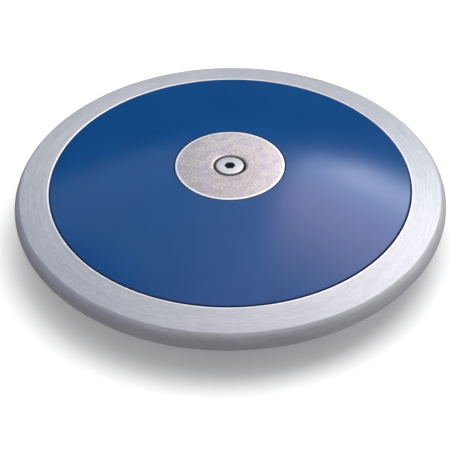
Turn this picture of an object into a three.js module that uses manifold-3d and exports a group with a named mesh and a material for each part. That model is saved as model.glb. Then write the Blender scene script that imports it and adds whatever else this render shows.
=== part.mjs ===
// A two kilogram throwing discus, built as it comes apart on a bench. A turned steel rim carries two
// moulded side plates on its tongue, and two screws draw the steel centre plates together through them.
// Millimetres, +Z up along the spin axis, with the origin at the centre of the discus.
import * as THREE from "three";
import { mergeVertices } from "three/addons/utils/BufferGeometryUtils.js";
import Module from "manifold-3d";

const wasm = await Module();
wasm.setup();

// Whole discus
const OUTER_DIAMETER = 220;
const CENTRE_THICKNESS = 45;

// Running fits
const FIT_GAP = 0.25; // between pieces that slide into each other
const HALVES_GAP = 0.2; // from the middle plane to each side plate
const CUT_OVERRUN = 1; // how far a cutting tool runs past the face it opens

// Rim
const RIM_THICKNESS = 12.7; // gauged a little way in from the edge
const RIM_GAUGE_INSET = 6;
const EDGE_RADIUS = 7.2; // the crowned grip at the outside
const RIM_FACE_WIDTH = 17.7; // bare metal seen outside the side plate
const RIM_BEVEL = 0.5;
const TONGUE_THICKNESS = 6;
const TONGUE_WIDTH = 8.2;
const TONGUE_BEVEL = 0.5;

// Dowels that key the rim to both side plates
const DOWEL_DIAMETER = 4;
const DOWEL_GRIP = 3; // length held in each side plate
const DOWEL_BEVEL = 0.5;
const DOWEL_COUNT = 6;

// Side plates
const SKIN = 3;
const SIDE_PLATE_BEVEL = 0.3;
const LIP_THICKNESS = 3.2; // the lip that centres the plate in the tongue
const POCKET_DIAMETER = 49; // holds the trim discs
const RIB_THICKNESS = 2;
const RIB_BASE_HEIGHT = 1.5; // from the middle plane to the ribs' free edges
const RIB_COUNT = 12;
const RING_RIB_DIAMETER = 110;

// Centre plates
const CENTRE_PLATE_DIAMETER = 55.5;
const CENTRE_PLATE_THICKNESS = 3.5;
const CENTRE_PLATE_BEVEL = 0.5;
const BOSS_DIAMETER = 22;
const COUNTERBORE_CLEARANCE = 1; // round the spring washer and the screw's head
const MOUTH_WIDTH = 1; // bevel round the counterbore
const MOUTH_DEPTH = 0.3;

// Centre screws
const THREAD_DIAMETER = 8;
const SCREW_HEAD_DIAMETER = 13.8;
const SCREW_HEAD_HEIGHT = 5;
const SCREW_HEAD_BEVEL = 0.3;
const SCREW_HEAD_SINK = 0.2; // below the centre plate's face
const SCREW_TIP_BEVEL = 1;
const SCREW_TIP_GAP = 1.3; // from the middle plane to each tip
const SOCKET_ACROSS_FLATS = 5;
const SOCKET_DEPTH = 3.2;

// Spring washers
const SPRING_WASHER_THICKNESS = 2;
const SPRING_WASHER_DIAMETER = 14.8;
const SPRING_WASHER_SPLIT = 1.6;

// Coupling nut
const NUT_ACROSS_FLATS = 13;
const NUT_END_GAP = 0.3;
const NUT_BEVEL = 0.6;

// Trim discs under each centre plate
const RUBBER_WASHER_THICKNESS = 2.2;
const TRIM_WEIGHT_THICKNESS = 3.5;
const TRIM_SHIM_THICKNESS = 1.5;

// Facets around each revolved piece
const LARGE_SEGMENTS = 60;
const MEDIUM_SEGMENTS = 32;
const SMALL_SEGMENTS = 24;
const EDGE_STEPS = 8;

// Outline of the discus: a flat centre, a straight taper, and a crowned grip that the taper meets at a
// slight corner.
const OUTER_RADIUS = OUTER_DIAMETER / 2;
const HALF_THICKNESS = CENTRE_THICKNESS / 2;
const CENTRE_PLATE_RADIUS = CENTRE_PLATE_DIAMETER / 2;
const FLAT_RADIUS = CENTRE_PLATE_RADIUS + FIT_GAP;
const EDGE_CENTRE_RADIUS = OUTER_RADIUS - EDGE_RADIUS;
const TAPER_RUN = OUTER_RADIUS - RIM_GAUGE_INSET - FLAT_RADIUS;
const TAPER_ANGLE = Math.atan2(HALF_THICKNESS - RIM_THICKNESS / 2, TAPER_RUN);

// Radii that neighbouring pieces share
const SHOULDER_RADIUS = OUTER_RADIUS - RIM_FACE_WIDTH;
const TONGUE_RADIUS = SHOULDER_RADIUS - TONGUE_WIDTH;
const TONGUE_HALF = TONGUE_THICKNESS / 2;
const DOWEL_CIRCLE_RADIUS = (SHOULDER_RADIUS + TONGUE_RADIUS) / 2;
const DOWEL_RADIUS = DOWEL_DIAMETER / 2;
const LIP_OUTER_RADIUS = TONGUE_RADIUS - FIT_GAP;
const LIP_INNER_RADIUS = LIP_OUTER_RADIUS - LIP_THICKNESS;
const POCKET_RADIUS = POCKET_DIAMETER / 2;
const BOSS_RADIUS = BOSS_DIAMETER / 2;
const THREAD_RADIUS = THREAD_DIAMETER / 2;
const THREAD_HOLE_RADIUS = THREAD_RADIUS + FIT_GAP;
const COUNTERBORE_RADIUS =
  Math.max(SPRING_WASHER_DIAMETER, SCREW_HEAD_DIAMETER) / 2 + COUNTERBORE_CLEARANCE;
const NUT_POCKET_ACROSS_FLATS = NUT_ACROSS_FLATS + 2 * FIT_GAP;
const HUB_RADIUS = cornerRadius(NUT_POCKET_ACROSS_FLATS) + SKIN;

// Heights above the middle plane, from the face inwards
const SEAT_HEIGHT = HALF_THICKNESS - CENTRE_PLATE_THICKNESS;
const SHIM_BASE = SEAT_HEIGHT - TRIM_SHIM_THICKNESS;
const WEIGHT_BASE = SHIM_BASE - TRIM_WEIGHT_THICKNESS;
const POCKET_FLOOR = WEIGHT_BASE - RUBBER_WASHER_THICKNESS;
const POCKET_UNDERSIDE = POCKET_FLOOR - SKIN;
const HEAD_TOP = HALF_THICKNESS - SCREW_HEAD_SINK;
const HEAD_UNDERSIDE = HEAD_TOP - SCREW_HEAD_HEIGHT;
const COUNTERBORE_FLOOR = HEAD_UNDERSIDE - SPRING_WASHER_THICKNESS;

const STEEL = new THREE.MeshStandardMaterial({ color: 0xc2c3c7, roughness: 0.38, metalness: 0.9 });
const PLATED = new THREE.MeshStandardMaterial({ color: 0xd9dadc, roughness: 0.3, metalness: 0.9 });
const BLUE_PLASTIC = new THREE.MeshStandardMaterial({ color: 0x194a88, roughness: 0.3, metalness: 0 });
const BLACK_RUBBER = new THREE.MeshStandardMaterial({ color: 0x1b1b1d, roughness: 0.85, metalness: 0 });

// Distance from a hexagon's centre to its corners.
function cornerRadius(acrossFlats) {
  return acrossFlats / Math.sqrt(3);
}

// Height of the discus's straight taper above the middle plane.
function taperHeight(radius) {
  return HALF_THICKNESS - (radius - FLAT_RADIUS) * Math.tan(TAPER_ANGLE);
}

// Height of the underside of the side plate's skin.
function skinUnderside(radius) {
  return taperHeight(radius) - SKIN / Math.cos(TAPER_ANGLE);
}

// Turns an outline of [radius, height] pairs round the Z axis. The outline runs outwards along the bottom.
function revolve(outline, segments) {
  const points = outline.map(([radius, height]) => new THREE.Vector2(radius, height));
  return new THREE.LatheGeometry(points, segments).rotateX(Math.PI / 2);
}

// The same for an outline that doesn't touch the axis, which is closed on its first point.
function revolveRing(outline, segments) {
  return revolve([...outline, outline[0]], segments);
}

// A round bar along Z between two heights.
function bar(radius, low, high, segments) {
  const geometry = new THREE.CylinderGeometry(radius, radius, high - low, segments);
  return geometry.rotateX(Math.PI / 2).translate(0, 0, (low + high) / 2);
}

// A hexagonal bar along Z, with two corners on the X axis.
function hexBar(acrossFlats, low, high) {
  const sides = 6;
  return bar(cornerRadius(acrossFlats), low, high, sides).rotateZ(Math.PI / sides);
}

// A closed geometry as a solid for joining and cutting.
function toSolid(geometry) {
  const bare = geometry.clone();
  bare.deleteAttribute("normal");
  bare.deleteAttribute("uv");
  const merged = mergeVertices(bare);
  const vertProperties = merged.getAttribute("position").array;
  const triVerts = new Uint32Array(merged.index.array);
  return new wasm.Manifold(new wasm.Mesh({ numProp: 3, vertProperties, triVerts }));
}

// A solid back as a geometry.
function toGeometry(solid) {
  const { vertProperties, triVerts } = solid.getMesh();
  const geometry = new THREE.BufferGeometry();
  geometry.setAttribute("position", new THREE.BufferAttribute(new Float32Array(vertProperties), 3));
  geometry.setIndex(new THREE.BufferAttribute(triVerts, 1));
  geometry.computeVertexNormals();
  return geometry;
}

// What make(angle, index) gives at even steps round the Z axis.
function around(count, make) {
  return Array.from({ length: count }, (_, i) => make((i * 2 * Math.PI) / count, i));
}

// The crowned grip, from the lower taper to the upper one. An arc too small to reach the taper's line
// ends where it runs along it.
function edgeArc() {
  const taperDistance = taperHeight(EDGE_CENTRE_RADIUS) * Math.cos(TAPER_ANGLE);
  const corner = Math.acos(Math.min(1, taperDistance / EDGE_RADIUS));
  const lastAngle = Math.PI / 2 - TAPER_ANGLE - corner;
  return Array.from({ length: EDGE_STEPS + 1 }, (_, i) => {
    const angle = -lastAngle + (i * 2 * lastAngle) / EDGE_STEPS;
    return [
      EDGE_CENTRE_RADIUS + EDGE_RADIUS * Math.cos(angle),
      EDGE_RADIUS * Math.sin(angle),
    ];
  });
}

// A bar that cuts the hole or pocket for one dowel, between two heights.
function dowelCutter(angle, low, high) {
  const radius = DOWEL_RADIUS + FIT_GAP;
  const sides = SMALL_SEGMENTS / 2;
  return bar(radius, low, high, sides).translate(DOWEL_CIRCLE_RADIUS, 0, 0).rotateZ(angle);
}

// The rim: a crowned grip, two tapered faces and a tongue that the side plates close on.
function rim() {
  const bevelRadius = SHOULDER_RADIUS + RIM_BEVEL;
  const upperFace = [
    [bevelRadius, taperHeight(bevelRadius)],
    [SHOULDER_RADIUS, taperHeight(SHOULDER_RADIUS) - RIM_BEVEL],
    [SHOULDER_RADIUS, TONGUE_HALF],
    [TONGUE_RADIUS + TONGUE_BEVEL, TONGUE_HALF],
    [TONGUE_RADIUS, TONGUE_HALF - TONGUE_BEVEL],
  ];
  const lowerFace = upperFace.map(([radius, height]) => [radius, -height]).reverse();
  let solid = toSolid(revolveRing([...lowerFace, ...edgeArc(), ...upperFace], LARGE_SEGMENTS));
  const reach = TONGUE_HALF + CUT_OVERRUN;
  for (const cutter of around(DOWEL_COUNT, (angle) => dowelCutter(angle, -reach, reach))) {
    solid = solid.subtract(toSolid(cutter));
  }
  return toGeometry(solid);
}

// The side plate's shell: skin, trim pocket, hub, and the flange and lip that seat on the rim's tongue.
function sidePlateShell() {
  const outerRadius = SHOULDER_RADIUS - FIT_GAP;
  const bevelRadius = outerRadius - SIDE_PLATE_BEVEL;
  const seatWallRadius = FLAT_RADIUS + SKIN;
  const pocketWallRadius = POCKET_RADIUS + SKIN;
  return revolve(
    [
      [0, HALVES_GAP],
      [HUB_RADIUS, HALVES_GAP],
      [HUB_RADIUS, POCKET_UNDERSIDE],
      [pocketWallRadius, POCKET_UNDERSIDE],
      [pocketWallRadius, SEAT_HEIGHT - SKIN],
      [seatWallRadius, SEAT_HEIGHT - SKIN],
      [seatWallRadius, skinUnderside(seatWallRadius)],
      [LIP_INNER_RADIUS, skinUnderside(LIP_INNER_RADIUS)],
      [LIP_INNER_RADIUS, HALVES_GAP],
      [LIP_OUTER_RADIUS, HALVES_GAP],
      [LIP_OUTER_RADIUS, TONGUE_HALF],
      [outerRadius, TONGUE_HALF],
      [outerRadius, taperHeight(outerRadius) - SIDE_PLATE_BEVEL],
      [bevelRadius, taperHeight(bevelRadius)],
      [FLAT_RADIUS, HALF_THICKNESS],
      [FLAT_RADIUS, SEAT_HEIGHT],
      [POCKET_RADIUS, SEAT_HEIGHT],
      [POCKET_RADIUS, POCKET_FLOOR],
      [0, POCKET_FLOOR],
    ],
    LARGE_SEGMENTS,
  );
}

// One radial rib, from the hub to the lip, buried halfway into the walls that it joins.
function radialRib(angle) {
  const bury = SKIN / 2;
  const hubEnd = HUB_RADIUS - bury;
  const lipEnd = LIP_INNER_RADIUS + bury;
  const seatEnd = FLAT_RADIUS + bury;
  const pocketEnd = POCKET_RADIUS + bury;
  const outline = new THREE.Shape(
    [
      [hubEnd, RIB_BASE_HEIGHT],
      [lipEnd, RIB_BASE_HEIGHT],
      [lipEnd, skinUnderside(lipEnd) + bury],
      [seatEnd, skinUnderside(seatEnd) + bury],
      [seatEnd, SEAT_HEIGHT - bury],
      [pocketEnd, SEAT_HEIGHT - bury],
      [pocketEnd, POCKET_UNDERSIDE + bury],
      [hubEnd, POCKET_UNDERSIDE + bury],
    ].map(([radius, height]) => new THREE.Vector2(radius, height)),
  );
  const geometry = new THREE.ExtrudeGeometry(outline, { depth: RIB_THICKNESS, bevelEnabled: false });
  return geometry.translate(0, 0, -RIB_THICKNESS / 2).rotateX(Math.PI / 2).rotateZ(angle);
}

// The ring that ties the radial ribs together halfway out.
function ringRib() {
  const innerRadius = (RING_RIB_DIAMETER - RIB_THICKNESS) / 2;
  const outerRadius = innerRadius + RIB_THICKNESS;
  const bury = SKIN / 2;
  return revolveRing(
    [
      [innerRadius, RIB_BASE_HEIGHT],
      [outerRadius, RIB_BASE_HEIGHT],
      [outerRadius, skinUnderside(outerRadius) + bury],
      [innerRadius, skinUnderside(innerRadius) + bury],
    ],
    LARGE_SEGMENTS,
  );
}

// The moulded side plate. Both sides of the discus use the same moulding.
function sidePlate() {
  const ribs = [ringRib(), ...around(RIB_COUNT, radialRib)];
  const pocketDepth = DOWEL_GRIP + FIT_GAP;
  const cutters = [
    hexBar(NUT_POCKET_ACROSS_FLATS, -CUT_OVERRUN, POCKET_FLOOR + CUT_OVERRUN),
    ...around(DOWEL_COUNT, (angle) =>
      dowelCutter(angle, TONGUE_HALF - CUT_OVERRUN, TONGUE_HALF + pocketDepth),
    ),
  ];
  let solid = toSolid(sidePlateShell());
  for (const rib of ribs) {
    solid = solid.add(toSolid(rib));
  }
  for (const cutter of cutters) {
    solid = solid.subtract(toSolid(cutter));
  }
  return toGeometry(solid);
}

// The centre plate: a flush disc with a boss that holds the screw's head and centres the trim discs.
function centrePlate() {
  return revolveRing(
    [
      [THREAD_HOLE_RADIUS, POCKET_FLOOR],
      [BOSS_RADIUS, POCKET_FLOOR],
      [BOSS_RADIUS, SEAT_HEIGHT],
      [CENTRE_PLATE_RADIUS, SEAT_HEIGHT],
      [CENTRE_PLATE_RADIUS, HALF_THICKNESS - CENTRE_PLATE_BEVEL],
      [CENTRE_PLATE_RADIUS - CENTRE_PLATE_BEVEL, HALF_THICKNESS],
      [COUNTERBORE_RADIUS + MOUTH_WIDTH, HALF_THICKNESS],
      [COUNTERBORE_RADIUS, HALF_THICKNESS - MOUTH_DEPTH],
      [COUNTERBORE_RADIUS, COUNTERBORE_FLOOR],
      [THREAD_HOLE_RADIUS, COUNTERBORE_FLOOR],
    ],
    MEDIUM_SEGMENTS,
  );
}

// A low-headed screw with a hexagon socket.
function centreScrew() {
  const headRadius = SCREW_HEAD_DIAMETER / 2;
  const blank = revolve(
    [
      [0, SCREW_TIP_GAP],
      [THREAD_RADIUS - SCREW_TIP_BEVEL, SCREW_TIP_GAP],
      [THREAD_RADIUS, SCREW_TIP_GAP + SCREW_TIP_BEVEL],
      [THREAD_RADIUS, HEAD_UNDERSIDE],
      [headRadius, HEAD_UNDERSIDE],
      [headRadius, HEAD_TOP - SCREW_HEAD_BEVEL],
      [headRadius - SCREW_HEAD_BEVEL, HEAD_TOP],
      [0, HEAD_TOP],
    ],
    SMALL_SEGMENTS,
  );
  const socket = hexBar(SOCKET_ACROSS_FLATS, HEAD_TOP - SOCKET_DEPTH, HEAD_TOP + CUT_OVERRUN);
  return toGeometry(toSolid(blank).subtract(toSolid(socket)));
}

// A split spring washer, pressed flat under the screw's head.
function springWasher() {
  const outerRadius = SPRING_WASHER_DIAMETER / 2;
  const outerSplit = Math.asin(SPRING_WASHER_SPLIT / 2 / outerRadius);
  const innerSplit = Math.asin(SPRING_WASHER_SPLIT / 2 / THREAD_HOLE_RADIUS);
  const outline = new THREE.Shape();
  outline.absarc(0, 0, outerRadius, outerSplit, 2 * Math.PI - outerSplit, false);
  outline.absarc(0, 0, THREAD_HOLE_RADIUS, 2 * Math.PI - innerSplit, innerSplit, true);
  outline.closePath();
  const options = {
    depth: SPRING_WASHER_THICKNESS,
    bevelEnabled: false,
    curveSegments: SMALL_SEGMENTS / 2,
  };
  return new THREE.ExtrudeGeometry(outline, options).translate(0, 0, COUNTERBORE_FLOOR);
}

// A flat disc in the trim pocket, round the centre plate's boss.
function trimDisc(low, high) {
  const innerRadius = BOSS_RADIUS + FIT_GAP;
  const outerRadius = POCKET_RADIUS - FIT_GAP;
  return revolveRing(
    [
      [innerRadius, low],
      [outerRadius, low],
      [outerRadius, high],
      [innerRadius, high],
    ],
    MEDIUM_SEGMENTS,
  );
}

// The long nut that both screws thread into, held from turning by the side plates.
function couplingNut() {
  const top = POCKET_FLOOR - NUT_END_GAP;
  const cornersRadius = cornerRadius(NUT_ACROSS_FLATS);
  const bevelled = revolve(
    [
      [0, -top],
      [cornersRadius - NUT_BEVEL, -top],
      [cornersRadius, NUT_BEVEL - top],
      [cornersRadius, top - NUT_BEVEL],
      [cornersRadius - NUT_BEVEL, top],
      [0, top],
    ],
    SMALL_SEGMENTS,
  );
  const bore = bar(THREAD_HOLE_RADIUS, -top - CUT_OVERRUN, top + CUT_OVERRUN, SMALL_SEGMENTS);
  const hexagon = toSolid(hexBar(NUT_ACROSS_FLATS, -top, top));
  return toGeometry(hexagon.intersect(toSolid(bevelled)).subtract(toSolid(bore)));
}

// A plain dowel through the rim's tongue.
function dowel() {
  const end = TONGUE_HALF + DOWEL_GRIP;
  return revolve(
    [
      [0, -end],
      [DOWEL_RADIUS - DOWEL_BEVEL, -end],
      [DOWEL_RADIUS, DOWEL_BEVEL - end],
      [DOWEL_RADIUS, end - DOWEL_BEVEL],
      [DOWEL_RADIUS - DOWEL_BEVEL, end],
      [0, end],
    ],
    SMALL_SEGMENTS / 2,
  );
}

function piece(name, geometry, material) {
  const mesh = new THREE.Mesh(geometry, material);
  mesh.name = name;
  return mesh;
}

// The seven pieces on one side of the middle plane, drawn as the upper side.
function sideAssembly(side) {
  const group = new THREE.Group();
  group.add(
    piece(`${side}_side_plate`, sidePlate(), BLUE_PLASTIC),
    piece(`${side}_centre_plate`, centrePlate(), STEEL),
    piece(`${side}_centre_screw`, centreScrew(), PLATED),
    piece(`${side}_spring_washer`, springWasher(), PLATED),
    piece(`${side}_rubber_washer`, trimDisc(POCKET_FLOOR, WEIGHT_BASE), BLACK_RUBBER),
    piece(`${side}_trim_weight`, trimDisc(WEIGHT_BASE, SHIM_BASE), STEEL),
    piece(`${side}_trim_shim`, trimDisc(SHIM_BASE, SEAT_HEIGHT), STEEL),
  );
  return group;
}

// The dowels, spaced evenly round the tongue.
function dowels() {
  return around(DOWEL_COUNT, (angle, i) => {
    const mesh = piece(`rim_dowel_${i + 1}`, dowel(), PLATED);
    mesh.position.set(
      DOWEL_CIRCLE_RADIUS * Math.cos(angle),
      DOWEL_CIRCLE_RADIUS * Math.sin(angle),
      0,
    );
    return mesh;
  });
}

const discus = new THREE.Group();
const upperSide = sideAssembly("upper");
const lowerSide = sideAssembly("lower");
lowerSide.rotation.x = Math.PI;
discus.add(
  piece("rim", rim(), STEEL),
  upperSide,
  lowerSide,
  piece("coupling_nut", couplingNut(), PLATED),
  ...dowels(),
);

export default discus;
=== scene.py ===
# The looks of a throwing discus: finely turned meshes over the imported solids, their finishes, and a
# plain studio. Metres, +Z up along the spin axis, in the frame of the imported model.
import math

import bpy
from mathutils import Matrix, Vector


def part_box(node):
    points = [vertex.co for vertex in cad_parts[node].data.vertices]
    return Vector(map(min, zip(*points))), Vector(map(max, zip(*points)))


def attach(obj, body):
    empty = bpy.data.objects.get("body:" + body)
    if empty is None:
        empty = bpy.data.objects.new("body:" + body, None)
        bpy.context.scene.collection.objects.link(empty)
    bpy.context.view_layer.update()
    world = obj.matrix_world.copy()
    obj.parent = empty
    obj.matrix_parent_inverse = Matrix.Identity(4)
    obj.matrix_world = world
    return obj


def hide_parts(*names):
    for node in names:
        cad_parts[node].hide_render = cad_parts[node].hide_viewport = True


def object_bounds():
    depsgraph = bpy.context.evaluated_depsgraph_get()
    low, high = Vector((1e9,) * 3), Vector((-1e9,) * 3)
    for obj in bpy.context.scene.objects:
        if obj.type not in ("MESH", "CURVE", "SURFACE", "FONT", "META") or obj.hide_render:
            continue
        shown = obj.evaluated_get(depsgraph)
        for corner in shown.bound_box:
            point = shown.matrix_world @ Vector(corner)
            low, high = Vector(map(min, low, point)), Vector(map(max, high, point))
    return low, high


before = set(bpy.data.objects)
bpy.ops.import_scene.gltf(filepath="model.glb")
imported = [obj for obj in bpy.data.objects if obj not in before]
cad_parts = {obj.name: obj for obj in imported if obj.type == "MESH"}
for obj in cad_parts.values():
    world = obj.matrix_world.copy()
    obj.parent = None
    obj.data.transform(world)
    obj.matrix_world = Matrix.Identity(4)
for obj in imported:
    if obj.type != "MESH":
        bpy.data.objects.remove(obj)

cad_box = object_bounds()

# Camera, fitted to edges of the discus in a picture of 450 by 450 pixels
PICTURE_WIDTH_PX = 450
FOCAL_LENGTH_PX = 2279
SENSOR_WIDTH_MM = 36
CAMERA_ELEVATION = math.radians(39.03)
CAMERA_DISTANCE = 1.165
CAMERA_ROLL = 0.0145
CAMERA_AIM = (-0.00286, -0.01293)  # metres to the right of and above the discus's centre, in the view
CAMERA_CLIP_START = 0.01

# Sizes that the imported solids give
OUTER_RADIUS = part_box("rim")[1].x
SIDE_PLATE_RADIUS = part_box("upper_side_plate")[1].x
HALVES_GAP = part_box("upper_side_plate")[0].z
CENTRE_PLATE_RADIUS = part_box("upper_centre_plate")[1].x
HALF_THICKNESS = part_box("upper_centre_plate")[1].z
POCKET_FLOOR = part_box("upper_centre_plate")[0].z
TRIM_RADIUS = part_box("upper_trim_weight")[1].x
SEAT_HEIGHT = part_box("upper_trim_shim")[1].z
WASHER_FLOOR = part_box("upper_spring_washer")[0].z
HEAD_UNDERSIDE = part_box("upper_spring_washer")[1].z
HEAD_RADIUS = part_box("upper_centre_screw")[1].x
HEAD_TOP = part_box("upper_centre_screw")[1].z
SCREW_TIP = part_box("upper_centre_screw")[0].z
DOWEL_RADIUS = (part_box("rim_dowel_1")[1].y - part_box("rim_dowel_1")[0].y) / 2
DOWEL_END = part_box("rim_dowel_1")[1].z
DOWEL_CIRCLE_RADIUS = (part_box("rim_dowel_1")[1].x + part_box("rim_dowel_1")[0].x) / 2

# Sizes that the solids' corners don't give
FIT_GAP = 0.00025
RIM_THICKNESS = 0.0127
RIM_GAUGE_INSET = 0.006
EDGE_RADIUS = 0.0072
TONGUE_HALF = 0.003
TONGUE_WIDTH = 0.0082
LIP_THICKNESS = 0.0032
SKIN = 0.003
RIB_THICKNESS = 0.002
RIB_BASE_HEIGHT = 0.0015
RIB_COUNT = 12
RING_RIB_RADIUS = 0.055
NUT_POCKET_ACROSS_FLATS = 0.0135
DOWEL_COUNT = 6
BOSS_RADIUS = 0.011
RECESS_RADIUS = 0.0084
MOUTH_WIDTH = 0.001
MOUTH_DEPTH = 0.0003
THREAD_RADIUS = 0.004
SOCKET_ACROSS_FLATS = 0.005
SOCKET_DEPTH = 0.0032

# Rounding of the edges
RIM_ROUND = 0.00045
GRIP_CORNER_ROUND = 0.0004
SIDE_PLATE_ROUND = 0.0003
CENTRE_PLATE_ROUND = 0.0004
SCREW_ROUND = 0.0003
HIDDEN_ROUND = 0.0005
THREAD_TIP_BEVEL = 0.001

# Steps in the meshes
TURNED_SEGMENTS = 360
SCREW_SEGMENTS = 128
HOLE_SEGMENTS = 32
ROUND_STEPS = 5
EDGE_STEPS = 36
CARD_STEPS = 24
FLOOR_CARD_SEGMENTS = 128

# How far cutters reach past what they cut, and how far the floor lies below the discus
CUT_OVERRUN = 0.001
FLOOR_GAP = 0.0001

# Outline of the discus: a flat centre, a straight taper and a crowned grip, with a slight corner between
FLAT_RADIUS = CENTRE_PLATE_RADIUS + FIT_GAP
EDGE_CENTRE_RADIUS = OUTER_RADIUS - EDGE_RADIUS
TAPER_RUN = OUTER_RADIUS - RIM_GAUGE_INSET - FLAT_RADIUS
TAPER_ANGLE = math.atan2(HALF_THICKNESS - RIM_THICKNESS / 2, TAPER_RUN)
SHOULDER_RADIUS = SIDE_PLATE_RADIUS + FIT_GAP
TONGUE_RADIUS = SHOULDER_RADIUS - TONGUE_WIDTH
LIP_OUTER_RADIUS = TONGUE_RADIUS - FIT_GAP
LIP_INNER_RADIUS = LIP_OUTER_RADIUS - LIP_THICKNESS
POCKET_RADIUS = TRIM_RADIUS + FIT_GAP
HUB_RADIUS = NUT_POCKET_ACROSS_FLATS / math.sqrt(3) + SKIN
POCKET_UNDERSIDE = POCKET_FLOOR - SKIN
THREAD_HOLE_RADIUS = THREAD_RADIUS + FIT_GAP


def taper_height(radius):
    """Height of the straight taper above the middle plane."""
    return HALF_THICKNESS - (radius - FLAT_RADIUS) * math.tan(TAPER_ANGLE)


def skin_underside(radius):
    """Height of the inside of the side plate's skin."""
    return taper_height(radius) - SKIN / math.cos(TAPER_ANGLE)


# Meshes


def rounded(corners, closed):
    """Points of an outline of (radius, height, rounding) corners, with an arc at each rounded one."""
    points = []
    for i, (x, y, rounding) in enumerate(corners):
        here = Vector((x, y))
        at_end = not closed and i in (0, len(corners) - 1)
        if at_end or rounding == 0:
            points.append(here)
            continue
        before = (Vector(corners[i - 1][:2]) - here).normalized()
        after = (Vector(corners[(i + 1) % len(corners)][:2]) - here).normalized()
        half_angle = before.angle(after) / 2
        middle = here + (before + after).normalized() * (rounding / math.sin(half_angle))
        start = here + before * (rounding / math.tan(half_angle)) - middle
        end = here + after * (rounding / math.tan(half_angle)) - middle
        painted_light_sweep = start.angle_signed(end)
        for step in range(ROUND_STEPS + 1):
            turn = Matrix.Rotation(-painted_light_sweep * step / ROUND_STEPS, 2)
            points.append(middle + turn @ start)
    return [(p.x, p.y) for p in points]


def turned(name, outline, segments, closed):
    """A solid of revolution. An outline that isn't closed starts and ends on the axis."""
    verts = []
    rings = []
    for radius, height in outline:
        if radius == 0:
            rings.append([len(verts)] * segments)
            verts.append((0, 0, height))
            continue
        rings.append([len(verts) + k for k in range(segments)])
        for k in range(segments):
            angle = 2 * math.pi * k / segments
            verts.append((radius * math.cos(angle), radius * math.sin(angle), height))
    faces = []
    pairs = list(zip(rings, rings[1:]))
    if closed:
        pairs.append((rings[-1], rings[0]))
    for low, high in pairs:
        for k in range(segments):
            after = (k + 1) % segments
            corners = [low[k], low[after], high[after], high[k]]
            faces.append(tuple(dict.fromkeys(corners)))
    return mesh_object(name, verts, faces)


def prism(name, outline, low, high):
    """An upright prism over an outline of (x, y) points that runs anticlockwise."""
    count = len(outline)
    verts = [(x, y, z) for z in (low, high) for x, y in outline]
    faces = [tuple(reversed(range(count))), tuple(range(count, 2 * count))]
    for k in range(count):
        after = (k + 1) % count
        faces.append((k, after, count + after, count + k))
    return mesh_object(name, verts, faces)


def mesh_object(name, verts, faces):
    mesh = bpy.data.meshes.new(name)
    mesh.from_pydata(verts, [], faces)
    mesh.validate()
    made = bpy.data.objects.new(name, mesh)
    bpy.context.scene.collection.objects.link(made)
    return made


def circle(radius, count, centre=(0, 0)):
    """Points round a circle, or the corners of a regular figure."""
    return [
        (
            centre[0] + radius * math.cos(2 * math.pi * k / count),
            centre[1] + radius * math.sin(2 * math.pi * k / count),
        )
        for k in range(count)
    ]


def hexagon(across_flats):
    return circle(across_flats / math.sqrt(3), 6)


def combined(base, others, operation):
    """base joined with others, or cut by them. The others are used up."""
    for other in others:
        modifier = base.modifiers.new("combine", "BOOLEAN")
        modifier.operation = operation
        modifier.solver = "EXACT"
        modifier.object = other
    graph = bpy.context.evaluated_depsgraph_get()
    mesh = bpy.data.meshes.new_from_object(base.evaluated_get(graph))
    base.modifiers.clear()
    base.data = mesh
    for other in others:
        bpy.data.objects.remove(other)
    return base


def smooth(piece, angle_deg=30):
    """Smooth shading, with a hard edge where faces meet at more than the angle."""
    piece.data.shade_smooth()
    piece.data.set_sharp_from_angle(angle=math.radians(angle_deg))
    return piece


def turned_over(piece, name):
    """A copy for the lower side, turned half a turn about X."""
    mesh = piece.data.copy()
    mesh.transform(Matrix.Rotation(math.pi, 4, "X"))
    made = bpy.data.objects.new(name, mesh)
    bpy.context.scene.collection.objects.link(made)
    return made


def placed(piece, node, slot, *materials):
    """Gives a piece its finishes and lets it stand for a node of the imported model."""
    piece.data.materials.clear()
    for material in materials:
        piece.data.materials.append(material)
    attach(piece, "root")
    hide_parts(node)
    return piece


# Pieces


def edge_arc():
    """The crowned grip, from the lower taper to the upper one, with a rounded corner at each end."""
    taper_distance = taper_height(EDGE_CENTRE_RADIUS) * math.cos(TAPER_ANGLE)
    last = math.pi / 2 - TAPER_ANGLE - math.acos(taper_distance / EDGE_RADIUS)
    points = []
    for step in range(EDGE_STEPS + 1):
        angle = -last + 2 * last * step / EDGE_STEPS
        x = EDGE_CENTRE_RADIUS + EDGE_RADIUS * math.cos(angle)
        rounding = GRIP_CORNER_ROUND if step in (0, EDGE_STEPS) else 0
        points.append((x, EDGE_RADIUS * math.sin(angle), rounding))
    return points


def dowel_cutters(low, high):
    cutters = []
    for k in range(DOWEL_COUNT):
        angle = 2 * math.pi * k / DOWEL_COUNT
        centre = (DOWEL_CIRCLE_RADIUS * math.cos(angle), DOWEL_CIRCLE_RADIUS * math.sin(angle))
        outline = circle(DOWEL_RADIUS + FIT_GAP, HOLE_SEGMENTS, centre)
        cutters.append(prism("cutter", outline, low, high))
    return cutters


def make_rim():
    upper = [
        (SHOULDER_RADIUS, taper_height(SHOULDER_RADIUS), RIM_ROUND),
        (SHOULDER_RADIUS, TONGUE_HALF, 0),
        (TONGUE_RADIUS, TONGUE_HALF, HIDDEN_ROUND),
    ]
    lower = [(radius, -height, rounding) for radius, height, rounding in reversed(upper)]
    outline = rounded(lower + edge_arc() + upper, closed=True)
    rim = turned("rim_turned", outline, TURNED_SEGMENTS, closed=True)
    reach = TONGUE_HALF + CUT_OVERRUN
    return smooth(combined(rim, dowel_cutters(-reach, reach), "DIFFERENCE"))


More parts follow.
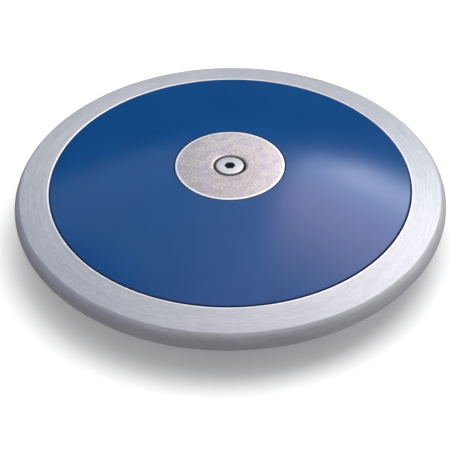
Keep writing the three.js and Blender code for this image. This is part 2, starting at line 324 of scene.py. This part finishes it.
def side_plate_shell():
    seat_wall = FLAT_RADIUS + SKIN
    pocket_wall = POCKET_RADIUS + SKIN
    corners = [
        (0, HALVES_GAP, 0),
        (HUB_RADIUS, HALVES_GAP, HIDDEN_ROUND),
        (HUB_RADIUS, POCKET_UNDERSIDE, HIDDEN_ROUND),
        (pocket_wall, POCKET_UNDERSIDE, HIDDEN_ROUND),
        (pocket_wall, SEAT_HEIGHT - SKIN, 0),
        (seat_wall, SEAT_HEIGHT - SKIN, 0),
        (seat_wall, skin_underside(seat_wall), 0),
        (LIP_INNER_RADIUS, skin_underside(LIP_INNER_RADIUS), HIDDEN_ROUND),
        (LIP_INNER_RADIUS, HALVES_GAP, HIDDEN_ROUND),
        (LIP_OUTER_RADIUS, HALVES_GAP, HIDDEN_ROUND),
        (LIP_OUTER_RADIUS, TONGUE_HALF, 0),
        (SIDE_PLATE_RADIUS, TONGUE_HALF, 0),
        (SIDE_PLATE_RADIUS, taper_height(SIDE_PLATE_RADIUS), SIDE_PLATE_ROUND),
        (FLAT_RADIUS, HALF_THICKNESS, SIDE_PLATE_ROUND),
        (FLAT_RADIUS, SEAT_HEIGHT, 0),
        (POCKET_RADIUS, SEAT_HEIGHT, 0),
        (POCKET_RADIUS, POCKET_FLOOR, 0),
        (0, POCKET_FLOOR, 0),
    ]
    return turned("side_plate", rounded(corners, closed=False), TURNED_SEGMENTS, closed=False)


def radial_rib(angle):
    """A rib from the hub to the lip, buried halfway into the walls that it joins."""
    bury = SKIN / 2
    hub_end = HUB_RADIUS - bury
    lip_end = LIP_INNER_RADIUS + bury
    seat_end = FLAT_RADIUS + bury
    pocket_end = POCKET_RADIUS + bury
    outline = [
        (hub_end, RIB_BASE_HEIGHT),
        (lip_end, RIB_BASE_HEIGHT),
        (lip_end, skin_underside(lip_end) + bury),
        (seat_end, skin_underside(seat_end) + bury),
        (seat_end, SEAT_HEIGHT - bury),
        (pocket_end, SEAT_HEIGHT - bury),
        (pocket_end, POCKET_UNDERSIDE + bury),
        (hub_end, POCKET_UNDERSIDE + bury),
    ]
    rib = prism("rib", outline, -RIB_THICKNESS / 2, RIB_THICKNESS / 2)
    rib.data.transform(Matrix.Rotation(angle, 4, "Z") @ Matrix.Rotation(math.pi / 2, 4, "X"))
    return rib


def ring_rib():
    inner = RING_RIB_RADIUS - RIB_THICKNESS / 2
    outer = inner + RIB_THICKNESS
    bury = SKIN / 2
    outline = [
        (inner, RIB_BASE_HEIGHT),
        (outer, RIB_BASE_HEIGHT),
        (outer, skin_underside(outer) + bury),
        (inner, skin_underside(inner) + bury),
    ]
    return turned("ring_rib", outline, TURNED_SEGMENTS, closed=True)


def make_side_plate():
    ribs = [ring_rib()]
    ribs += [radial_rib(2 * math.pi * k / RIB_COUNT) for k in range(RIB_COUNT)]
    nut_pocket = prism(
        "cutter", hexagon(NUT_POCKET_ACROSS_FLATS), -CUT_OVERRUN, POCKET_FLOOR + CUT_OVERRUN
    )
    cutters = [nut_pocket] + dowel_cutters(TONGUE_HALF - CUT_OVERRUN, DOWEL_END + FIT_GAP)
    plate = combined(side_plate_shell(), ribs, "UNION")
    return smooth(combined(plate, cutters, "DIFFERENCE"))


def make_centre_plate():
    corners = [
        (THREAD_HOLE_RADIUS, POCKET_FLOOR, 0),
        (BOSS_RADIUS, POCKET_FLOOR, 0),
        (BOSS_RADIUS, SEAT_HEIGHT, 0),
        (CENTRE_PLATE_RADIUS, SEAT_HEIGHT, 0),
        (CENTRE_PLATE_RADIUS, HALF_THICKNESS, CENTRE_PLATE_ROUND),
        (RECESS_RADIUS + MOUTH_WIDTH, HALF_THICKNESS, SCREW_ROUND),
        (RECESS_RADIUS, HALF_THICKNESS - MOUTH_DEPTH, SCREW_ROUND),
        (RECESS_RADIUS, WASHER_FLOOR, 0),
        (THREAD_HOLE_RADIUS, WASHER_FLOOR, 0),
    ]
    outline = rounded(corners, closed=True)
    return smooth(turned("centre_plate", outline, TURNED_SEGMENTS, closed=True))


def make_screw():
    corners = [
        (0, SCREW_TIP, 0),
        (THREAD_RADIUS - THREAD_TIP_BEVEL, SCREW_TIP, 0),
        (THREAD_RADIUS, SCREW_TIP + THREAD_TIP_BEVEL, 0),
        (THREAD_RADIUS, HEAD_UNDERSIDE, 0),
        (HEAD_RADIUS, HEAD_UNDERSIDE, 0),
        (HEAD_RADIUS, HEAD_TOP, SCREW_ROUND),
        (0, HEAD_TOP, 0),
    ]
    screw = turned("screw", rounded(corners, closed=False), SCREW_SEGMENTS, closed=False)
    floor = HEAD_TOP - SOCKET_DEPTH
    socket = prism("cutter", hexagon(SOCKET_ACROSS_FLATS), floor, HEAD_TOP + CUT_OVERRUN)
    return smooth(combined(screw, [socket], "DIFFERENCE"))


def darken_socket(screw, material_index):
    """Gives the walls and floor of the hexagon socket the painted shade finish."""
    reach = SOCKET_ACROSS_FLATS / math.sqrt(3) + FIT_GAP
    for face in screw.data.polygons:
        centre = face.center
        inside = math.hypot(centre.x, centre.y) < reach
        below_face = HEAD_TOP - SOCKET_DEPTH - FIT_GAP < abs(centre.z) < HEAD_TOP - SCREW_ROUND / 2
        if inside and below_face:
            face.material_index = material_index


# Finishes

# Colours, as red, green and blue
# Painted highlight colour for the bright band along the steel edges
PAINTED_EDGE_HIGHLIGHT = (0.93, 0.95, 1.0)
RIM_DARK = (0.460, 0.470, 0.500)
RIM_LIGHT = (0.615, 0.63, 0.665)
PLASTIC_DARK = (0.002, 0.060, 0.230)
PLASTIC_LIGHT = (0.003, 0.066, 0.250)
# Painted shade colour for the plastic's joints with the steel
PLASTIC_JOINT_SHADE = (0.003, 0.016, 0.065)
PLASTIC_GLOSS = (0.72, 0.80, 1.0)
PLATE_WARM_DARK = (0.46, 0.42, 0.40)
PLATE_WARM_LIGHT = (0.75, 0.69, 0.655)
PLATE_COOL_DARK = (0.455, 0.41, 0.435)
PLATE_COOL_LIGHT = (0.715, 0.655, 0.685)
SCREW_DARK = (0.88, 0.85, 0.82)
SCREW_LIGHT = (0.99, 0.97, 0.93)
# Painted shade colours for inside the hexagon socket
SOCKET_DARK = (0.09, 0.09, 0.10)
SOCKET_LIGHT = (0.13, 0.13, 0.14)
TRIM_DARK = (0.36, 0.36, 0.37)
TRIM_LIGHT = (0.50, 0.50, 0.51)
RUBBER_DARK = (0.010, 0.010, 0.011)
RUBBER_LIGHT = (0.022, 0.022, 0.024)
WHITE = (1, 1, 1)
BLACK = (0, 0, 0)

# How far from its edge each painted band is full, and how far from it the band has faded out: a painted
# highlight along the steel edges, painted shade in the plastic's joints
RIM_HIGHLIGHT_FULL = 0.0006
RIM_HIGHLIGHT_FADED = 0.0011
PLATE_HIGHLIGHT_FULL = 0.0009
PLATE_HIGHLIGHT_FADED = 0.0014
OUTER_JOINT_SHADE_FULL = 0.0004
OUTER_JOINT_SHADE_FADED = 0.0009
INNER_JOINT_SHADE_FULL = 0.0003
INNER_JOINT_SHADE_FADED = 0.0007

# The range that nearly all values of a noise lie in
NOISE_RANGE = (0.3, 0.7)

# Painted light: how much lighter the centre plate's steel is painted with each metre towards +X and +Y,
# the side facing the lamps
PLATE_PAINTED_LIGHT_SWEEP = 2.3


def rgba(colour):
    """A colour of three numbers with full alpha. A link stays as it is."""
    if isinstance(colour, bpy.types.NodeSocket):
        return colour
    return (*colour, 1)


class Nodes:
    """Short calls for the nodes of one material."""

    def __init__(self, name):
        self.material = bpy.data.materials.new(name)
        self.material.use_nodes = True
        self.tree = self.material.node_tree
        self.tree.nodes.clear()
        self.shader = self.tree.nodes.new("ShaderNodeBsdfPrincipled")
        self.output = self.tree.nodes.new("ShaderNodeOutputMaterial")
        self.link(self.shader.outputs[0], self.output.inputs["Surface"])

    def link(self, source, target):
        self.tree.links.new(source, target)

    def make(self, kind, inputs=None, **settings):
        node = self.tree.nodes.new("ShaderNode" + kind)
        for key, value in settings.items():
            setattr(node, key, value)
        for key, value in (inputs or {}).items():
            if isinstance(value, bpy.types.NodeSocket):
                self.link(value, node.inputs[key])
            else:
                node.inputs[key].default_value = value
        return node

    def math(self, operation, first, second=0.0):
        return self.make("Math", {0: first, 1: second}, operation=operation).outputs[0]

    def blend(self, first, second, share):
        """A share of the first number, and the rest of the second."""
        part = self.math("MULTIPLY", first, share)
        rest = self.math("MULTIPLY", second, 1 - share)
        return self.math("ADD", part, rest)

    def position(self):
        return self.make("TexCoord").outputs["Object"]

    def axes(self):
        """X, Y and Z of the place."""
        return self.make("SeparateXYZ", {"Vector": self.position()}).outputs

    def radius(self):
        """Distance from the Z axis."""
        x, y, _ = self.axes()
        square = self.math("ADD", self.math("POWER", x, 2), self.math("POWER", y, 2))
        return self.math("SQRT", square)

    def ramp(self, factor, low, high, start, end):
        """A number that goes from start to end as factor goes from low to high."""
        inputs = {"Value": factor, "From Min": low, "From Max": high, "To Min": start, "To Max": end}
        return self.make("MapRange", inputs).outputs[0]

    def noise(self, scale, detail=3.0, roughness=0.5):
        inputs = {"Vector": self.position(), "Scale": scale, "Detail": detail, "Roughness": roughness}
        return self.make("TexNoise", inputs).outputs["Fac"]

    def turning_marks(self, width, length):
        """Noise drawn out round the Z axis: fine marks of that width and about that length."""
        x, y, z = self.axes()
        radius = self.radius()
        turns = OUTER_RADIUS / length
        inputs = {
            0: self.math("MULTIPLY", self.math("DIVIDE", x, radius), turns),
            1: self.math("MULTIPLY", self.math("DIVIDE", y, radius), turns),
            2: self.math("MULTIPLY", z, 1 / width),
        }
        around = self.make("CombineXYZ", inputs).outputs[0]
        across = self.math("MULTIPLY", radius, 1 / width)
        inputs = {"Vector": around, "W": across, "Scale": 1.0, "Detail": 2.0}
        return self.make("TexNoise", inputs, noise_dimensions="4D").outputs["Fac"]

    def mix(self, factor, under, over):
        """The colour under where factor is 0, and the colour over where it is 1."""
        inputs = {0: factor, 6: rgba(under), 7: rgba(over)}
        return self.make("Mix", inputs, data_type="RGBA").outputs[2]

    def bump(self, height, distance, strength):
        inputs = {"Height": height, "Distance": distance, "Strength": strength}
        return self.make("Bump", inputs).outputs[0]

    def set(self, **values):
        """Sets the shader's sockets, by name with _ for a space, to a value or a link."""
        for key, value in values.items():
            socket = self.shader.inputs[key.replace("_", " ")]
            if isinstance(value, bpy.types.NodeSocket):
                self.link(value, socket)
            else:
                socket.default_value = value


def rim_steel():
    """Turned steel, with a fine grain round the rim and a painted highlight: a bright edge beside the
    side plate.
    """
    n = Nodes("rim_steel")
    # Painted highlight: the steel is painted near-white in a band beside the side plate
    full = SHOULDER_RADIUS + RIM_HIGHLIGHT_FULL
    faded = SHOULDER_RADIUS + RIM_HIGHLIGHT_FADED
    painted_highlight = n.ramp(n.radius(), full, faded, start=1.0, end=0.0)
    fine = n.turning_marks(width=0.0005, length=0.006)
    broad = n.turning_marks(width=0.0011, length=0.022)
    cloud = n.noise(scale=400.0)
    marks = n.blend(fine, broad, share=0.6)
    tone = n.blend(marks, cloud, share=0.85)
    grade = n.ramp(tone, low=0.35, high=0.65, start=0.0, end=1.0)
    n.set(
        Base_Color=n.mix(painted_highlight, n.mix(grade, RIM_DARK, RIM_LIGHT), PAINTED_EDGE_HIGHLIGHT),
        Metallic=0.5,
        Roughness=n.ramp(marks, *NOISE_RANGE, start=0.45, end=0.55),
        Anisotropic=0.55,
        Anisotropic_Rotation=0.25,
        Normal=n.bump(fine, distance=0.00002, strength=0.35),
    )
    return n.material


def side_plate_plastic():
    """Blue moulded plastic with a soft gloss, with painted shade and a matt finish where it meets the
    steel.
    """
    n = Nodes("side_plate_plastic")
    cloud = n.noise(scale=45.0)
    grain = n.noise(scale=2500.0, detail=2.0)
    marks = n.turning_marks(width=0.0005, length=0.03)
    grade = n.ramp(cloud, low=0.35, high=0.65, start=0.0, end=1.0)
    # Painted shade: the plastic is painted dark navy in a thin band along both edges where it meets the
    # steel
    outer_faded = SIDE_PLATE_RADIUS - OUTER_JOINT_SHADE_FADED
    outer_full = SIDE_PLATE_RADIUS - OUTER_JOINT_SHADE_FULL
    outer = n.ramp(n.radius(), outer_faded, outer_full, start=0.0, end=1.0)
    inner_full = FLAT_RADIUS + INNER_JOINT_SHADE_FULL
    inner_faded = FLAT_RADIUS + INNER_JOINT_SHADE_FADED
    inner = n.ramp(n.radius(), inner_full, inner_faded, start=1.0, end=0.0)
    joint_shade = n.math("MAXIMUM", outer, inner)
    blue = n.mix(grade, PLASTIC_DARK, PLASTIC_LIGHT)
    n.set(
        Base_Color=n.mix(joint_shade, blue, PLASTIC_JOINT_SHADE),
        Roughness=n.math("MAXIMUM", n.ramp(marks, *NOISE_RANGE, start=0.17, end=0.21), joint_shade),
        IOR=1.5,
        Specular_IOR_Level=0.5,
        Specular_Tint=rgba(PLASTIC_GLOSS),
        Normal=n.bump(grain, distance=0.00001, strength=0.2),
    )
    return n.material


def centre_plate_steel():
    """Ground steel, finely mottled, with a painted highlight along its edge and painted light that makes
    it lighter towards +X and +Y.
    """
    n = Nodes("centre_plate_steel")
    mottle = n.noise(scale=850.0, detail=4.0, roughness=0.6)
    cloud = n.noise(scale=220.0)
    stain = n.ramp(n.noise(scale=130.0, detail=1.0), low=0.4, high=0.6, start=0.0, end=1.0)
    # Painted highlight: the steel is painted near-white in a band along the plate's edge
    faded = CENTRE_PLATE_RADIUS - PLATE_HIGHLIGHT_FADED
    full = CENTRE_PLATE_RADIUS - PLATE_HIGHLIGHT_FULL
    painted_highlight = n.ramp(n.radius(), faded, full, start=0.0, end=1.0)
    # Painted light: the steel is painted lighter towards +X and +Y
    x, y, _ = n.axes()
    painted_light_sweep = n.math("MULTIPLY", n.math("ADD", x, y), PLATE_PAINTED_LIGHT_SWEEP)
    tone = n.blend(mottle, cloud, share=0.7)
    grade = n.ramp(n.math("ADD", tone, painted_light_sweep), low=0.38, high=0.62, start=0.0, end=1.0)
    warm = n.mix(grade, PLATE_WARM_DARK, PLATE_WARM_LIGHT)
    cool = n.mix(grade, PLATE_COOL_DARK, PLATE_COOL_LIGHT)
    patched = n.mix(stain, warm, cool)
    n.set(
        Base_Color=n.mix(painted_highlight, patched, PAINTED_EDGE_HIGHLIGHT),
        Metallic=0.8,
        Roughness=n.ramp(mottle, *NOISE_RANGE, start=0.42, end=0.55),
        Normal=n.bump(mottle, distance=0.00006, strength=0.4),
    )
    return n.material


def screw_steel():
    """Bright plated steel with faint turning marks."""
    n = Nodes("screw_steel")
    marks = n.turning_marks(width=0.0002, length=0.05)
    grade = n.ramp(marks, *NOISE_RANGE, start=0.0, end=1.0)
    n.set(
        Base_Color=n.mix(grade, SCREW_DARK, SCREW_LIGHT),
        Metallic=1.0,
        Roughness=n.ramp(marks, *NOISE_RANGE, start=0.26, end=0.36),
        Normal=n.bump(marks, distance=0.00001, strength=0.3),
    )
    return n.material


def socket_painted_shade():
    """Painted shade: a near-black finish inside the hexagon socket, standing in for the shade in its
    depth.
    """
    n = Nodes("socket_painted_shade")
    shade_mottle = n.noise(scale=1500.0)
    n.set(
        Base_Color=n.mix(shade_mottle, SOCKET_DARK, SOCKET_LIGHT),
        Metallic=0.3,
        Roughness=n.ramp(shade_mottle, *NOISE_RANGE, start=0.5, end=0.7),
    )
    return n.material


def trim_steel():
    """Cold rolled sheet steel."""
    n = Nodes("trim_steel")
    grain = n.noise(scale=900.0)
    n.set(
        Base_Color=n.mix(grain, TRIM_DARK, TRIM_LIGHT),
        Metallic=1.0,
        Roughness=n.ramp(grain, *NOISE_RANGE, start=0.4, end=0.55),
    )
    return n.material


def washer_rubber():
    """Matt black rubber."""
    n = Nodes("washer_rubber")
    grain = n.noise(scale=1200.0)
    n.set(
        Base_Color=n.mix(grain, RUBBER_DARK, RUBBER_LIGHT),
        Roughness=n.ramp(grain, *NOISE_RANGE, start=0.75, end=0.9),
        Normal=n.bump(grain, distance=0.00005, strength=0.3),
    )
    return n.material


# Studio

CARD_DISTANCE = 1.5
SOFTBOX_DISTANCE = 1.4
STRIP_DISTANCE = 1.35
LAMP_DISTANCE = 1.1

# Light of the softbox in red, green and blue, and the elevations that it fades through
SOFTBOX_LOW_LIGHT = (3.7, 4.2, 4.7)
SOFTBOX_HIGH_LIGHT = (4.5, 3.2, 3.4)
SOFTBOX_FADE = (36, 48)


def background_light(tree):
    """1 for rays that see the background itself: from the camera, mirrored or let through."""
    path = tree.nodes.new("ShaderNodeLightPath")
    total = path.outputs["Is Camera Ray"]
    for name in ("Is Glossy Ray", "Is Transmission Ray"):
        add = tree.nodes.new("ShaderNodeMath")
        add.operation = "MAXIMUM"
        tree.links.new(total, add.inputs[0])
        tree.links.new(path.outputs[name], add.inputs[1])
        total = add.outputs[0]
    return total


def make_world(fill):
    """A white background that lights the object at the level of fill."""
    world = bpy.data.worlds.new("studio")
    world.use_nodes = True
    bpy.context.scene.world = world
    tree = world.node_tree
    background = tree.nodes["Background"]
    background.inputs["Color"].default_value = rgba(WHITE)
    level = tree.nodes.new("ShaderNodeMapRange")
    level.inputs["To Min"].default_value = fill
    level.inputs["To Max"].default_value = 1.0
    tree.links.new(background_light(tree), level.inputs["Value"])
    tree.links.new(level.outputs[0], background.inputs["Strength"])


def make_floor(size, lift, far_lift, spread):
    """A white floor just under the lower centre plate, which can be seen through from below.

    Where it is seen it has a light of its own, lift, which grows to far_lift as the distance from the
    discus goes through spread, because the lamps don't reach as far.
    """
    half = size / 2
    corners = [(-half, -half, 0), (half, -half, 0), (half, half, 0), (-half, half, 0)]
    floor = mesh_object("floor", corners, [(0, 1, 2, 3)])
    floor.location.z = cad_box[0].z - FLOOR_GAP
    n = Nodes("floor")
    n.set(Base_Color=rgba(WHITE), Roughness=0.9, Specular_IOR_Level=0.0)
    n.set(Emission_Color=rgba(WHITE))
    glow = n.ramp(n.radius(), *spread, lift, far_lift)
    n.set(Emission_Strength=n.math("MULTIPLY", background_light(n.tree), glow))
    backfacing = n.make("NewGeometry").outputs["Backfacing"]
    from_below = n.math("MULTIPLY", backfacing, n.make("LightPath").outputs["Is Camera Ray"])
    clear = n.make("BsdfTransparent").outputs[0]
    surface = n.make("MixShader", {0: from_below, 1: n.shader.outputs[0], 2: clear}).outputs[0]
    n.link(surface, n.output.inputs["Surface"])
    floor.data.materials.append(n.material)


def direction(azimuth_deg, elevation_deg):
    """Unit vector of a direction, with azimuth from +Y towards +X."""
    azimuth = math.radians(azimuth_deg)
    elevation = math.radians(elevation_deg)
    level = math.cos(elevation)
    return Vector((level * math.sin(azimuth), level * math.cos(azimuth), math.sin(elevation)))


def area_light(name, azimuth, elevation, size, power):
    """A square soft lamp that points at the discus, and that no mirrored ray sees."""
    data = bpy.data.lights.new(name, "AREA")
    data.shape = "SQUARE"
    data.size = size
    data.energy = power
    lamp = bpy.data.objects.new(name, data)
    towards = direction(azimuth, elevation)
    lamp.location = towards * LAMP_DISTANCE
    lamp.rotation_euler = (-towards).to_track_quat("-Z", "Y").to_euler()
    lamp.visible_glossy = False
    bpy.context.scene.collection.objects.link(lamp)


def make_card(name, azimuths, elevations, light, top_light=None, fade=(0, 90), distance=CARD_DISTANCE):
    """A curved card round the discus that only mirrored rays see, between two angles each way.

    Its light, in red, green and blue, turns to top_light as the elevation goes through fade.
    """
    verts = []
    faces = []
    for i in range(CARD_STEPS + 1):
        azimuth = azimuths[0] + (azimuths[1] - azimuths[0]) * i / CARD_STEPS
        for k in range(CARD_STEPS + 1):
            elevation = elevations[0] + (elevations[1] - elevations[0]) * k / CARD_STEPS
            verts.append(direction(azimuth, elevation) * distance)
    row = CARD_STEPS + 1
    for i in range(CARD_STEPS):
        for k in range(CARD_STEPS):
            first = i * row + k
            faces.append((first, first + 1, first + row + 1, first + row))
    n = only_mirrored(mesh_object(name, verts, faces))
    height = n.axes()[2]
    low, high = (distance * math.sin(math.radians(elevation)) for elevation in fade)
    risen = n.ramp(height, low, high, start=0.0, end=1.0)
    n.set(Emission_Color=n.mix(risen, light, top_light or light))


def make_floor_card(inner_radius, lift, left_light, right_light, fade):
    """A flat ring on the floor that only mirrored rays see.

    Its light turns from left_light to right_light as X goes through fade.
    """
    height = cad_box[0].z + lift
    outline = [(inner_radius, height), (CARD_DISTANCE, height)]
    n = only_mirrored(turned("floor_card", outline, FLOOR_CARD_SEGMENTS, closed=False))
    across = n.axes()[0]
    n.set(Emission_Color=n.mix(n.ramp(across, *fade, start=0.0, end=1.0), left_light, right_light))


def only_mirrored(card):
    """Makes a card that glows for mirrored rays alone, and gives its nodes for the colour."""
    n = Nodes(card.name)
    n.set(Base_Color=rgba(BLACK), Roughness=1.0, Specular_IOR_Level=0.0, Emission_Strength=1.0)
    card.data.materials.append(n.material)
    card.visible_camera = False
    card.visible_diffuse = False
    card.visible_shadow = False
    return n


def make_camera():
    """The camera in front of the discus and above it, a little rolled."""
    elevation = CAMERA_ELEVATION
    back = Vector((0, -math.cos(elevation), math.sin(elevation)))
    place = back * CAMERA_DISTANCE
    side = Vector((1, 0, 0))
    target = side * CAMERA_AIM[0] + back.cross(side) * CAMERA_AIM[1]
    look = (target - place).normalized()
    right = look.cross(Vector((0, 0, 1))).normalized()
    up = right.cross(look)
    view_axes = Matrix((right, up, -look)).transposed()
    data = bpy.data.cameras.new("camera")
    data.sensor_width = SENSOR_WIDTH_MM
    data.lens = SENSOR_WIDTH_MM * FOCAL_LENGTH_PX / PICTURE_WIDTH_PX
    data.clip_start = CAMERA_CLIP_START
    camera = bpy.data.objects.new("camera", data)
    turn = view_axes @ Matrix.Rotation(-CAMERA_ROLL, 3, "Z")
    camera.matrix_world = Matrix.Translation(place) @ turn.to_4x4()
    bpy.context.scene.collection.objects.link(camera)
    bpy.context.scene.camera = camera


# The discus
steel = rim_steel()
plastic = side_plate_plastic()
plate_steel = centre_plate_steel()
plated = screw_steel()
socket_shade = socket_painted_shade()
trim = trim_steel()
rubber = washer_rubber()

placed(make_rim(), "rim", "rim_steel", steel)

side_plate = make_side_plate()
centre_plate = make_centre_plate()
screw = make_screw()
for piece, part, slot, finishes in (
    (side_plate, "side_plate", "side_plate_plastic", [plastic]),
    (centre_plate, "centre_plate", "centre_plate_steel", [plate_steel]),
    (screw, "centre_screw", "screw_steel", [plated, socket_shade]),
):
    lower = turned_over(piece, f"lower_{part}_fine")
    piece.name = f"upper_{part}_fine"
    placed(piece, f"upper_{part}", slot, *finishes)
    placed(lower, f"lower_{part}", slot, *finishes)
    if part == "centre_screw":
        # The socket's walls and floor get the painted shade
        darken_socket(piece, finishes.index(socket_shade))
        darken_socket(lower, finishes.index(socket_shade))

for node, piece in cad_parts.items():
    if "trim" in node:
        finish = trim
    elif "rubber" in node:
        finish = rubber
    else:
        finish = plated
    piece.data.materials.clear()
    piece.data.materials.append(finish)

# The camera, the floor and the lamps, which give the matt light and the shadow
bpy.context.scene.view_settings.view_transform = "Standard"
make_camera()
make_world(fill=0.28)
make_floor(size=8.0, lift=0.21, far_lift=0.8, spread=(0.5, 1.6))
area_light("overhead", azimuth=20, elevation=85, size=1.17, power=5.5)
area_light("side", azimuth=50, elevation=70, size=0.89, power=5.75)

# The cards that mirror in the steel and in the plastic, each with its azimuths and elevations
make_floor_card(
    inner_radius=0.07,
    lift=0.0005,
    left_light=(0.03, 0.03, 0.03),
    right_light=(0.4, 0.37, 0.41),
    fade=(0.03, 0.13),
)
make_card("back_card", (-34, 30), (0, 28.5), light=(0.02, 0.08, 0.14))
make_card("back_right_card", (30, 50), (0, 29), light=(0.54, 0.71, 0.55))
make_card("left_low_card", (-110, -34), (1, 28), light=(0.05, 0.05, 0.3))
make_card("left_card", (-39, -12), (27, 45), light=(0.57, 0.72, 0.79))
make_card("left_high_card", (-39, -12), (45, 72), light=(0.55, 0.7, 0.63))
make_card("centre_card", (-12, 15.5), (28.5, 50), light=(0.56, 0.62, 0.7))
make_card("centre_high_card", (-12, 15.5), (50, 72), light=(0.8, 0.95, 1.05))
make_card("left_far_card", (-110, -39), (28, 72), light=(0.12, 0.13, 0.33))
for name, azimuths, elevations in (
    ("softbox_edge", (15.5, 21), (31, 50)),
    ("softbox", (21, 50), (28.7, 50)),
):
    make_card(
        name,
        azimuths,
        elevations,
        light=SOFTBOX_LOW_LIGHT,
        top_light=SOFTBOX_HIGH_LIGHT,
        fade=SOFTBOX_FADE,
        distance=SOFTBOX_DISTANCE,
    )
make_card(
    "softbox_top",
    (15.5, 50),
    (50, 72),
    light=(4.35, 3.35, 3.4),
    top_light=(1.2, 1.15, 1.25),
    fade=(50, 70),
    distance=SOFTBOX_DISTANCE,
)
make_card("strip", (21, 42), (31, 36.5), light=(7.0, 7.0, 7.3), distance=STRIP_DISTANCE)
make_card("right_card", (50, 76), (25, 72), light=(2.2, 2.3, 2.1))
make_card("right_far_card", (76, 110), (25, 72), light=(0.85, 0.87, 0.85))
make_card("right_low_card", (50, 110), (0, 25), light=(0.23, 0.25, 0.2))
make_card("front_card", (110, 250), (0, 35), light=(0.03, 0.03, 0.09))
make_card("front_high_card", (110, 250), (35, 72), light=(0.45, 0.45, 0.45))
make_card("top_card", (0, 360), (72, 90), light=(0.87, 0.7, 0.96))
